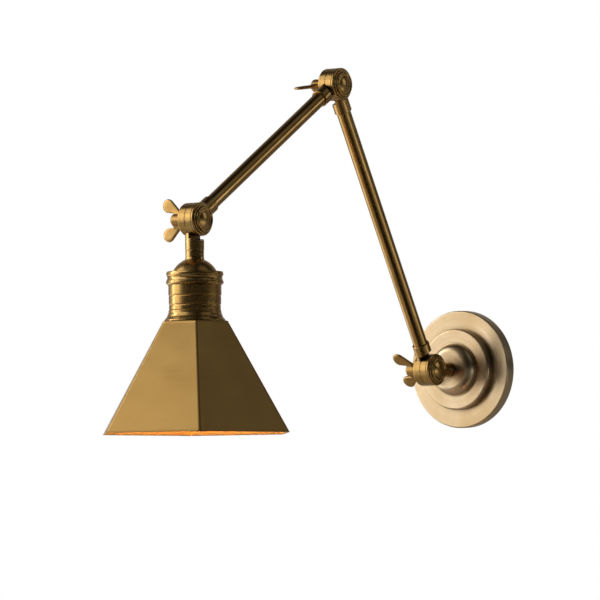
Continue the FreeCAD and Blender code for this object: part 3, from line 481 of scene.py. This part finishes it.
def along_line(corners, spacing):
    """Points at an even spacing round a closed line of straight runs."""
    corners = np.array(corners)
    follows = np.roll(corners, -1, axis=0)
    lengths = np.linalg.norm(follows - corners, axis=1)
    travelled = np.concatenate([[0.0], np.cumsum(lengths)])
    stops = np.arange(0.0, travelled[-1], spacing)
    closed = np.vstack([corners, corners[:1]])
    return np.stack([np.interp(stops, travelled, closed[:, axis]) for axis in (0, 1)], axis=1)


def ring_shell(profile, count=96):
    """A closed profile (x, radius) carried round the x axis."""
    angle = np.linspace(0.0, 2.0 * math.pi, count, endpoint=False)[:, None]
    x, radius = profile[:, 0][None, :], profile[:, 1][None, :]
    return np.stack([np.broadcast_to(x, (count, profile.shape[0])),
                     radius * np.cos(angle), radius * np.sin(angle)], axis=-1)


# --- shade ---------------------------------------------------------------------------------------

# Drops are measured down the head's axis from the head pivot, and radii out to a corner.
SHADE_TOP = 81.6
SHADE_BOTTOM = 171.3
SHADE_TOP_RADIUS = 29.4
SHADE_BOTTOM_RADIUS = 84.3
SHADE_TOP_CORNER = 2.8
SHADE_BOTTOM_CORNER = 3.6
SHADE_GAUGE = 1.1
SHADE_TURN = math.radians(10.6)
SHADE_HOLE = 19.62
SHADE_SIDES = 6
SIDE_DEGREES = 360.0 / SHADE_SIDES
TOP_FOLD = 1.3
TOP_INSET = 1.6
HOLE_EDGE = 0.12
RIM_ROUND = 0.35
INSIDE_START = 0.6
INSIDE_DROP = 0.2
INSIDE_INSET = 0.5
PANEL_SWELL = 0.22
PANEL_WAVE = 0.07
WAVES_DOWN = 7.0
WAVE_SWAY = 3.0


def shade_section(radius, corner):
    """Rounded hexagon at each station down the shade.  Each of its six sides is a bend, an arc of the
    corner's radius, then a flat that runs to the next bend.  Gives x, y and how far along the flat
    each point is, as arrays (round, station)."""
    half_side = SIDE_DEGREES / 2
    bend = np.radians(np.linspace(-half_side, half_side, 9))[:, None]
    bend_x = radius - corner / math.cos(math.radians(half_side)) + corner * np.cos(bend)
    bend_y = corner * np.sin(bend)
    next_x, next_y = turned_by(bend_x[0], bend_y[0], math.radians(SIDE_DEGREES))
    flat = eased(26)[1:-1][:, None]
    side_x = np.concatenate([bend_x, bend_x[-1] + (next_x - bend_x[-1]) * flat])
    side_y = np.concatenate([bend_y, bend_y[-1] + (next_y - bend_y[-1]) * flat])
    share = np.concatenate([np.zeros_like(bend_x), np.broadcast_to(flat, (len(flat), bend_x.shape[1]))])
    sides = [turned_by(side_x, side_y, SHADE_TURN + math.radians(SIDE_DEGREES * side))
             for side in range(SHADE_SIDES)]
    x, y = (np.concatenate(parts) for parts in zip(*sides))
    return x, y, np.tile(share, (SHADE_SIDES, 1))


def make_shade():
    """Folded sheet: a closed profile (drop, radius, roundness) carried round a rounded hexagon.  It
    runs over the flat top, round the top fold, down the outside, round the rim and up the inside.
    Roundness 1 draws a station in to the circle of the hole.  Each panel swells by sin(pi flat)
    squared times sin(pi down) and has a slow waver, as hand-folded sheet does."""
    slope = (SHADE_BOTTOM_RADIUS - SHADE_TOP_RADIUS) / (SHADE_BOTTOM - SHADE_TOP)
    inset = SHADE_GAUGE / math.cos(math.radians(SIDE_DEGREES / 2))
    under = SHADE_TOP + SHADE_GAUGE
    stations = []

    def run(drop, radius, roundness, inside=0.0):
        rows = [np.atleast_1d(row).astype(float) for row in (drop, radius, roundness, inside)]
        stations.append(np.stack(np.broadcast_arrays(*rows)))

    run(np.linspace(under - HOLE_EDGE, SHADE_TOP + HOLE_EDGE, 3), SHADE_TOP_RADIUS, 1.0)
    top_reach = SHADE_TOP_RADIUS + slope * TOP_FOLD - TOP_INSET
    run(SHADE_TOP, top_reach, 1.0 - eased(10))
    quarter = np.linspace(0.0, math.pi / 2, 6)[1:]
    run(SHADE_TOP + TOP_FOLD * (1.0 - np.cos(quarter)), top_reach + TOP_INSET * np.sin(quarter), 0.0)
    down = np.linspace(SHADE_TOP + TOP_FOLD, SHADE_BOTTOM - RIM_ROUND, 64)[1:]
    run(down, SHADE_TOP_RADIUS + slope * (down - SHADE_TOP), 0.0)
    rim = np.linspace(0.0, math.pi, 9)[1:-1]
    run(SHADE_BOTTOM - RIM_ROUND * (1.0 - np.sin(rim)),
        SHADE_BOTTOM_RADIUS - inset / 2 * (1.0 - np.cos(rim)), 0.0)
    up = np.linspace(SHADE_BOTTOM - RIM_ROUND, under + INSIDE_START, 44)
    run(up, SHADE_TOP_RADIUS + slope * (up - SHADE_TOP) - inset, 0.0, inside=1.0)
    inner_reach = SHADE_TOP_RADIUS + slope * (SHADE_GAUGE + INSIDE_DROP) - inset - INSIDE_INSET
    run(under, inner_reach, eased(9), inside=1.0)
    drop, radius, roundness, inside = np.concatenate(stations, axis=1)

    share_down = np.clip((drop - SHADE_TOP) / (SHADE_BOTTOM - SHADE_TOP), 0.0, 1.0)
    corner = SHADE_TOP_CORNER + (SHADE_BOTTOM_CORNER - SHADE_TOP_CORNER) * share_down
    x, y, flat = shade_section(radius, corner - SHADE_GAUGE * inside)
    angle = np.arctan2(y, x)
    down_panel = np.sin(math.pi * share_down)
    swell = PANEL_SWELL * np.sin(math.pi * flat) ** 2
    waver = PANEL_WAVE * np.sin(math.pi * flat) * np.sin(
        WAVES_DOWN * math.pi * share_down + WAVE_SWAY * np.sin(2.0 * angle) + 2.0 * angle)
    reach = np.hypot(x, y) + (swell + waver) * down_panel * (1.0 - roundness)
    reach = reach * (1.0 - roundness) + SHADE_HOLE * roundness
    points = np.stack([reach * np.cos(angle), reach * np.sin(angle),
                       np.broadcast_to(-drop, reach.shape)], axis=-1)
    grid_piece("folded_shade", [(points, inside)], head_frame, ["shade_brushed", "shade_inside"],
               "head", "shade")


# --- wing nuts -----------------------------------------------------------------------------------

# Places count outwards along the pivot's axis from its middle, and heights up from the axis.
NUT_SEAT = 8.9
HUB_LENGTH = 12.4
HUB_RADIUS = 5.6
HUB_BORE = 3.06
HUB_SPACING = 0.16
LOBE_OUT = 17.3
LOBE_RISE = 11.8
LOBE_RADIUS = 5.6
LOBE_FROM, LOBE_TO = 45.0, 270.0
BLADE_NEAR = 3.4
BLADE_FAR = 10.6
BLADE_FOOT = 3.2
BLADE_SHOULDER = HUB_RADIUS - 0.3
BLADE_MIDDLE = (-NUT_SEAT - 12.6, 9.0)
BLADE_SPACING = 0.35
WING_HALF_GAUGE = 1.35
EDGE_POWER = 7
ROOT_SWELL = 0.85
ROOT_LEVEL = HUB_RADIUS - 0.6
ROOT_FADE = 1.3
CAST_SOFTNESS = 2
WING_TURNS = {"wall": 37.0, "elbow": 98.0, "head": 0.0}


def wing_blade(turn):
    """One cast wing: its outline, shrunk towards its middle in rings, swells to a flat face with a
    rounded edge, as the root of 1 - ring to the seventh.  Near the hub the wing is thicker, as a
    cast root is."""
    sweep = np.radians(np.linspace(LOBE_FROM, LOBE_TO, 26))
    lobe = np.stack([-NUT_SEAT - LOBE_OUT + LOBE_RADIUS * np.cos(sweep),
                     LOBE_RISE + LOBE_RADIUS * np.sin(sweep)], axis=1)
    near, far = -NUT_SEAT - BLADE_NEAR, -NUT_SEAT - BLADE_FAR
    corners = [(near, BLADE_FOOT), (near, BLADE_SHOULDER), *lobe.tolist(),
               (far, BLADE_SHOULDER), (far, BLADE_FOOT)]
    outline = softened(along_line(corners, BLADE_SPACING), CAST_SOFTNESS)
    middle_point = np.array(BLADE_MIDDLE)
    rings = np.sin(np.linspace(0.0, math.pi / 2, 12))
    half = WING_HALF_GAUGE * np.sqrt(np.clip(1.0 - rings ** EDGE_POWER, 0.0, 1.0))
    flat = middle_point + (outline[:, None, :] - middle_point) * rings[None, :, None]
    root = ROOT_SWELL * np.exp(-np.clip(flat[..., 1] - ROOT_LEVEL, 0.0, None) / ROOT_FADE)
    thick = half[None, :] * (1.0 + root / WING_HALF_GAUGE)
    front = np.stack([flat[..., 0], thick, flat[..., 1]], axis=-1)
    back = np.stack([flat[..., 0], -thick, flat[..., 1]], axis=-1)[:, ::-1]
    points = np.concatenate([front, back[:, 1:]], axis=1)
    points[..., 1], points[..., 2] = turned_by(points[..., 1], points[..., 2], math.radians(turn))
    return points


def make_wing_nuts():
    """Cast wing nuts: a hub with a rounded crown and a small foot ring, and two wings."""
    end = -NUT_SEAT - HUB_LENGTH
    corners = [
        (-NUT_SEAT, HUB_BORE), (-NUT_SEAT, HUB_RADIUS - 0.2), (-NUT_SEAT - 1.5, HUB_RADIUS - 0.2),
        (-NUT_SEAT - 1.8, HUB_RADIUS - 0.45), (end + 1.6, HUB_RADIUS - 0.1),
        (end + 0.35, HUB_RADIUS - 0.7), (end, HUB_RADIUS - 1.7), (end, HUB_BORE + 0.35),
        (end + 0.35, HUB_BORE),
    ]
    profile = softened(along_line(corners, HUB_SPACING), CAST_SOFTNESS)
    profile[:, 1] = np.maximum(profile[:, 1], HUB_BORE)
    for joint, turn in WING_TURNS.items():
        shells = [(ring_shell(profile), 0), (wing_blade(turn), 0), (wing_blade(turn + 180.0), 0)]
        grid_piece(f"cast_{joint}_wing_nut", shells, Matrix.Translation(pivots[f"{joint}_joint"]),
                   [f"{joint}_cast"], f"{joint}_wing", f"{joint}_wing_nut", poles=True)


# --- turned pieces -------------------------------------------------------------------------------

DOME_SPHERE = 19.8
DOME_CENTRE = 50.5
DOME_WALL = 1.5
BEAD_BULGE = 0.41
COLLAR_BULGE = 0.8
TURNED_SPACING = 0.18
TURNED_SOFTNESS = 1
HEAD_ROUND = 128


def bulged(start, end, bulge, count=13):
    """Points from start to end that bow out by bulge to the right of the way, as 4 t (1 - t)."""
    start, end = np.array(start), np.array(end)
    share = np.linspace(0.0, 1.0, count)[:, None]
    way = (end - start) / np.linalg.norm(end - start)
    side = np.array([way[1], -way[0]])
    return (start + (end - start) * share + side * bulge * 4.0 * share * (1.0 - share)).tolist()


def spherical(radius, first, last, count=40):
    """Points on the dome's sphere between two drops."""
    drop = np.linspace(first, last, count)
    return np.stack([np.sqrt(radius ** 2 - (DOME_CENTRE - drop) ** 2), drop], axis=1).tolist()


# Profiles of the turned head pieces, as (radius, drop below the head pivot).
TURNED_HEAD = {
    "neck": [(2.9, 50.4), (2.9, 18.0), (4.9, 18.0), (4.9, 24.9), (7.45, 24.9), (7.45, 30.3),
             (7.8, 32.3), (4.9, 32.3), (4.9, 50.4)],
    "dome": [(4.93, 33.8), (4.93, 32.3), *spherical(DOME_SPHERE, 32.3, 41.8), (17.9, 43.2), (20.8, 43.2),
             (20.8, 44.5), (16.4, 44.5), *spherical(DOME_SPHERE - DOME_WALL, 42.3, 33.8)],
    "collar": [(18.2, 43.2), (18.2, 41.8), (22.4, 41.8), (22.9, 43.1),
               *bulged((22.9, 44.7), (22.9, 49.1), -COLLAR_BULGE), (22.6, 49.1), (23.1, 49.6),
               (23.1, 51.3), (21.9, 52.5), (19.9, 52.5), (19.9, 44.5), (20.83, 44.5), (20.83, 43.2)],
    "gallery_sleeve": [(18.7, 72.6), (18.7, 44.5), (19.87, 44.5), (19.87, 52.5), (21.3, 52.5),
                       *bulged((21.3, 60.55), (21.0, 61.85), -BEAD_BULGE),
                       *bulged((21.0, 67.95), (20.75, 69.25), -BEAD_BULGE), (20.75, 72.6)],
    "shade_fitter": [(17.6, 87.6), (17.6, 66.6), (18.67, 66.6), (18.67, 72.6), (20.75, 72.6),
                     (21.2, 73.2), (21.2, 74.8), (22.5, 77.8), (22.1, 77.8), (22.1, 78.2),
                     (22.9, 78.4), (24.6, 80.7), (24.6, 81.6), (19.55, 81.6), (19.55, 87.6)],
}


def turned(corners):
    """A closed profile with even points and its corners rounded as a turned edge is."""
    return softened(along_line(corners, TURNED_SPACING), TURNED_SOFTNESS)


def make_turned_head():
    """Neck, dome, collar, sleeve and fitter: each profile carried round the head's axis."""
    for name, corners in TURNED_HEAD.items():
        shell = ring_shell(turned(corners)[:, ::-1], HEAD_ROUND)
        points = np.stack([shell[..., 1], shell[..., 2], -shell[..., 0]], axis=-1)
        grid_piece(f"turned_{name}", [(points, 0)], head_frame, ["head_turned"], "head", name)


# Bolts: the head has a rim, a dished face and a domed centre.  The core is a fine bore that keeps
# the mesh closed.
BOLT_SEAT = 9.6
BOLT_END = -22.3
BOLT_CORE = 0.05
BOLT_SHANK = 3.0
BOLT_CHAMFER = 0.4
BOLT_HEAD = 10.3
BOLT_DOME = 6.6
DOME_RISE = 1.3
DISH_DEPTH = 0.9
DISH_RADIUS = 8.3
RIM_RISE = 1.7
RIM_CREST = 8.8
RIM_FALL = 0.75
RIM_BULGE = 0.3
CAP_DEPTH = 1.2
CAP_RADIUS = 11.7
CAP_BORE = 3.1
CAP_EDGE = 0.2
BOLT_BODIES = {"wall": "rose", "elbow": "lower_arm", "head": "upper_arm"}


def make_bolts():
    """Pivot bolts, with a raised rim, a dished face and a domed centre, and the washers under them.
    The dome rises as 1 - (radius / dome radius) squared."""
    front = BOLT_SEAT + RIM_RISE
    dish = front - DISH_DEPTH
    across = np.linspace(BOLT_CORE, BOLT_DOME, 26)
    dome = np.stack([dish + DOME_RISE * (1.0 - (across / BOLT_DOME) ** 2), across], axis=1).tolist()
    bolt = turned([(BOLT_END, BOLT_CORE), *dome, (dish, DISH_RADIUS),
                   *bulged((front, RIM_CREST), (front - RIM_FALL, BOLT_HEAD), RIM_BULGE),
                   (BOLT_SEAT, BOLT_HEAD), (BOLT_SEAT, BOLT_SHANK),
                   (BOLT_END + BOLT_CHAMFER, BOLT_SHANK), (BOLT_END, BOLT_SHANK - BOLT_CHAMFER)])
    bolt[:, 1] = np.maximum(bolt[:, 1], BOLT_CORE)
    washer = turned([(BOLT_SEAT - CAP_DEPTH, CAP_BORE), (BOLT_SEAT - CAP_DEPTH, CAP_RADIUS),
                     (BOLT_SEAT - CAP_EDGE, CAP_RADIUS), (BOLT_SEAT, CAP_RADIUS - CAP_EDGE),
                     (BOLT_SEAT, CAP_BORE)])
    for joint, body in BOLT_BODIES.items():
        for kind, profile, replaced in (("bolt", bolt, "bolt"), ("washer", washer, "cap_washer")):
            grid_piece(f"turned_{joint}_{kind}", [(ring_shell(profile), 0)],
                       Matrix.Translation(pivots[f"{joint}_joint"]), [f"{joint}_turned"], body,
                       f"{joint}_{replaced}")


make_shade()
make_wing_nuts()
make_turned_head()
make_bolts()


# --- studio --------------------------------------------------------------------------------------

FLOOR_HEIGHT = -0.42
FLOOR_REACH = 40.0
FLOOR_COLOUR = (0.88, 0.88, 0.87, 1.0)
MATT = 0.9
NEAR_FLOOR = 0.6
FAR_FLOOR = 2.8
FLOOR_GLOW = 0.45

# A black card on the floor in front of the rose: its low and high corners (x, y).
CARD_LOW, CARD_HIGH = (0.02, -0.85), (0.78, -0.25)
CARD_LIFT = 0.005
CARD_COLOUR = (0.02, 0.017, 0.014, 1.0)

# The white backdrop, and the cosines of the angles at which it starts and is full.
BACKDROP = Vector((-0.6, 0.8, 0.0))
BACKDROP_CONE = (0.93, 0.975)

# The room's own level, and the glows round it: direction, cosines at which each starts and is full,
# and its level.
ROOM_LEVEL = 0.014
ROOM_GLOWS = [
    (Vector((-0.86, -0.48, 0.15)), 0.70, 0.97, 0.8),
    (Vector((-0.2, -0.6, 0.78)), 0.8, 0.98, 0.12),
    (BACKDROP, 0.35, 0.95, 0.3),
    (Vector((0.62, 0.17, 0.77)), 0.90, 0.985, 0.2),
    (Vector((0.45, 0.78, -0.42)), 0.93, 0.99, 0.45),
    (Vector((0.92, 0.20, -0.36)), 0.93, 0.99, 0.3),
]

# Soft boxes: name, direction and distance from the lamp's middle, width and height, how bright the
# face looks, and whether it lights the floor or shows only in the metal.
SOFT_LIGHTS = [
    ("left_window", (-0.69, -0.72, 0.12), 3.0, (1.35, 2.6), 1.12, True),
    ("window_strip", (-0.91, -0.42, 0.20), 2.6, (0.35, 2.4), 6.0, True),
    ("overhead_front", (-0.222, -0.677, 0.37), 0.8, (0.4, 0.4), 0.95, True),
    ("low_right", (0.90, 0.365, -0.225), 1.0, (0.7, 0.2), 0.9, False),
    ("right_strip", (0.703, 0.656, 0.276), 1.5, (0.4, 0.5), 1.0, False),
    ("low_left", (-0.88, -0.16, -0.45), 0.75, (0.8, 0.3), 1.1, False),
    ("overhead_left", (-0.66, -0.38, 0.65), 2.0, (0.75, 0.75), 1.1, True),
]

# The photograph's camera, fitted to the tubes, the rose and the shade: where it stands in metres,
# which way it looks in degrees, and its focal length as it would be in pixels of a 600-pixel frame.
CAMERA_SPOT = Vector((2.6552, -3.7653, -0.0386))
CAMERA_YAW = math.radians(36.93)
CAMERA_PITCH = math.radians(-1.26)
CAMERA_ROLL = math.radians(-1.39)
FOCAL_PIXELS = 5392.5
FRAME_PIXELS = 600.0
SENSOR_WIDTH = 36.0


def level_sheet(name, low, high, height, material):
    """A level rectangle of the studio, from its low corner (x, y) to its high one."""
    (left, front), (right, back) = low, high
    corners = [(left, front, height), (right, front, height), (right, back, height), (left, back, height)]
    mesh = bpy.data.meshes.new(name)
    mesh.from_pydata(corners, [], [(0, 1, 2, 3)])
    mesh.materials.append(material)
    sheet = bpy.data.objects.new(name, mesh)
    bpy.context.scene.collection.objects.link(sheet)
    return sheet


def make_floor():
    """Pale floor.  Near the lamp it is plain and takes the shadow; far off it fades to white.  In
    reflections only the part behind the lamp is white.  Seen from under, it is clear."""
    shader = Shader("pale_floor")
    shader.put(FLOOR_COLOUR, shader.inputs["Base Color"])
    shader.put(MATT, shader.inputs["Roughness"])
    x, y, _ = shader.split(shader.add("ShaderNodeTexCoord").outputs["Object"])
    level = shader.join(x, y, 0.0)
    distance = shader.length(level)
    far = shader.ramp(distance, NEAR_FLOOR, FAR_FLOOR)
    cosine = shader.math("DIVIDE", shader.dot(level, BACKDROP), distance)
    behind = shader.ramp(cosine, *BACKDROP_CONE)
    camera, seen = shader.seen_directly()
    white = shader.math("MAXIMUM", camera, shader.math("MULTIPLY", seen, behind))
    nearer = shader.math("MULTIPLY", camera, FLOOR_GLOW)
    amount = shader.math("MAXIMUM", shader.math("MULTIPLY", far, white), nearer)
    glow = shader.add("ShaderNodeEmission").outputs[0]
    from_above = shader.blend(amount, shader.surface.outputs[0], glow)
    from_under = shader.add("ShaderNodeNewGeometry").outputs["Backfacing"]
    clear = shader.add("ShaderNodeBsdfTransparent").outputs[0]
    seen_floor = shader.blend(from_under, from_above, clear)
    shader.put(seen_floor, shader.tree.nodes["Material Output"].inputs["Surface"])
    level_sheet("floor", (-FLOOR_REACH, -FLOOR_REACH), (FLOOR_REACH, FLOOR_REACH), FLOOR_HEIGHT,
                shader.material)


def make_dark_card():
    """Black card that lies on the floor in front of the rose.  Only the metal sees it: it puts the
    dark band on the lower tube."""
    shader = Shader("black_card")
    shader.put(CARD_COLOUR, shader.inputs["Base Color"])
    shader.put(MATT, shader.inputs["Roughness"])
    card = level_sheet("dark_card", CARD_LOW, CARD_HIGH, FLOOR_HEIGHT + CARD_LIFT, shader.material)
    card.visible_camera = False
    card.visible_diffuse = False
    card.visible_shadow = False


def make_world():
    """Studio round the lamp: a white backdrop behind it, a broad pale glow from the window side,
    smaller ones above and on the right, and a darker room elsewhere, which gives the brass its depth."""
    world = bpy.data.worlds.new("studio")
    world.use_nodes = True
    bpy.context.scene.world = world
    sky = Nodes(world.node_tree)
    looking = sky.add("ShaderNodeTexCoord").outputs["Generated"]

    def facing(direction, start, full, level):
        cosine = sky.dot(looking, direction.normalized())
        return sky.ramp(cosine, start, full, 0.0, level, curve="SMOOTHSTEP")

    room = ROOM_LEVEL
    for glow in ROOM_GLOWS:
        room = sky.math("ADD", room, facing(*glow))
    camera, seen = sky.seen_directly()
    backdrop = sky.math("MULTIPLY", facing(BACKDROP, *BACKDROP_CONE, 1.0), seen)
    white = sky.math("MAXIMUM", camera, backdrop)
    background = sky.tree.nodes["Background"]
    background.inputs["Color"].default_value = (1.0, 1.0, 1.0, 1.0)
    sky.put(sky.math("MAXIMUM", room, white), background.inputs["Strength"])


def soft_light(name, direction, distance, size, level, lights_floor):
    """A soft box in a direction from the lamp's middle, whose power follows from its level and area."""
    direction = Vector(direction)
    light = bpy.data.lights.new(name, "AREA")
    light.shape = "RECTANGLE"
    light.size, light.size_y = size
    light.energy = level * math.pi * size[0] * size[1]
    lamp = bpy.data.objects.new(name, light)
    lamp.location = middle + direction.normalized() * distance
    lamp.rotation_mode = "QUATERNION"
    lamp.rotation_quaternion = (-direction).to_track_quat("-Z", "Y")
    lamp.visible_camera = False
    lamp.visible_diffuse = lights_floor
    bpy.context.scene.collection.objects.link(lamp)


def make_camera():
    """The photograph's camera, from its spot, its three angles and its focal length."""
    level = math.cos(CAMERA_PITCH)
    back = Vector((math.sin(CAMERA_YAW) * level, -math.cos(CAMERA_YAW) * level, math.sin(CAMERA_PITCH)))
    right = Vector((math.cos(CAMERA_YAW), math.sin(CAMERA_YAW), 0.0))
    above = back.cross(right)
    rolled_right = right * math.cos(CAMERA_ROLL) + above * math.sin(CAMERA_ROLL)
    rolled_up = above * math.cos(CAMERA_ROLL) - right * math.sin(CAMERA_ROLL)
    turn = Matrix((rolled_right, rolled_up, back)).transposed()
    data = bpy.data.cameras.new("camera")
    data.sensor_width = SENSOR_WIDTH
    data.lens = FOCAL_PIXELS * SENSOR_WIDTH / FRAME_PIXELS
    data.clip_start = 0.1
    data.clip_end = 100.0
    camera = bpy.data.objects.new("camera", data)
    camera.matrix_world = Matrix.Translation(CAMERA_SPOT) @ turn.to_4x4()
    bpy.context.scene.collection.objects.link(camera)
    bpy.context.scene.camera = camera


make_floor()
make_world()
make_dark_card()
make_camera()
for settings in SOFT_LIGHTS:
    soft_light(*settings)
bpy.context.scene.view_settings.view_transform = "Standard"
